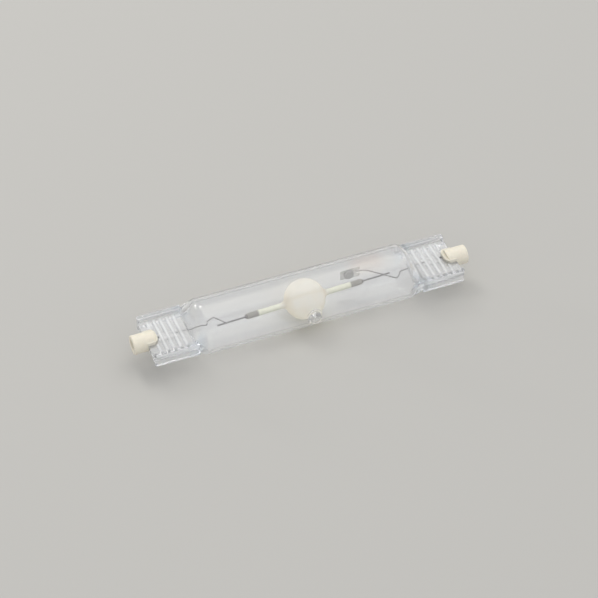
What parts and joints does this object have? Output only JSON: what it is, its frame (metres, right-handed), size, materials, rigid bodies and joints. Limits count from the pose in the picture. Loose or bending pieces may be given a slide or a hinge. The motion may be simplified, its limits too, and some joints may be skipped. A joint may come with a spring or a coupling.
{
  "type": "double-ended metal halide lamp",
  "caption": "Double-ended metal halide lamp: clear quartz tube with flat pinched ends, ceramic arc tube, bent support wires, getter and recessed ceramic caps.",
  "frame": {"origin": "on the lamp's axis, midway between the faces of the two caps, which is the light centre", "axes": "+X along the lamp from the left cap to the right cap, +Z square to the flat of both pinches, exhaust nub towards -Y"},
  "size_m": [0.138, 0.0254, 0.022],
  "materials": {
    "quartz": "clear, polished",
    "arc_ceramic": "translucent, satin",
    "cap_ceramic": "cream, unglazed",
    "cement": "matt, slightly rough",
    "contact_metal": "plain nickel",
    "dark_lead": "oxidised molybdenum",
    "foil": "thin rolled molybdenum",
    "molybdenum": "drawn wire",
    "niobium": "drawn wire, dull",
    "frit": "dark sealing glass",
    "tungsten": "ground rod",
    "getter_metal": "rolled strip",
    "getter_pill": "pressed powder, matt"
  },
  "bodies": {
    "root": {"arc_tube": "arc_ceramic", "getter_pill": "getter_pill", "getter_strip": "getter_metal", "left_cap": "cap_ceramic", "left_cement": "cement", "left_contact": "contact_metal", "left_electrode": "tungsten", "left_electrode_coil": "tungsten", "left_foil": "foil", "left_frit_seal": "frit", "left_inner_lead": "molybdenum", "left_lead_wire": "molybdenum", "left_niobium_lead": "niobium", "left_outer_lead": "dark_lead", "outer_bulb": "quartz", "right_cap": "cap_ceramic", "right_cement": "cement", "right_contact": "contact_metal", "right_electrode": "tungsten", "right_electrode_coil": "tungsten", "right_foil": "foil", "right_frit_seal": "frit", "right_inner_lead": "molybdenum", "right_lead_wire": "molybdenum", "right_niobium_lead": "niobium", "right_outer_lead": "dark_lead"}
  },
  "joints": []
}
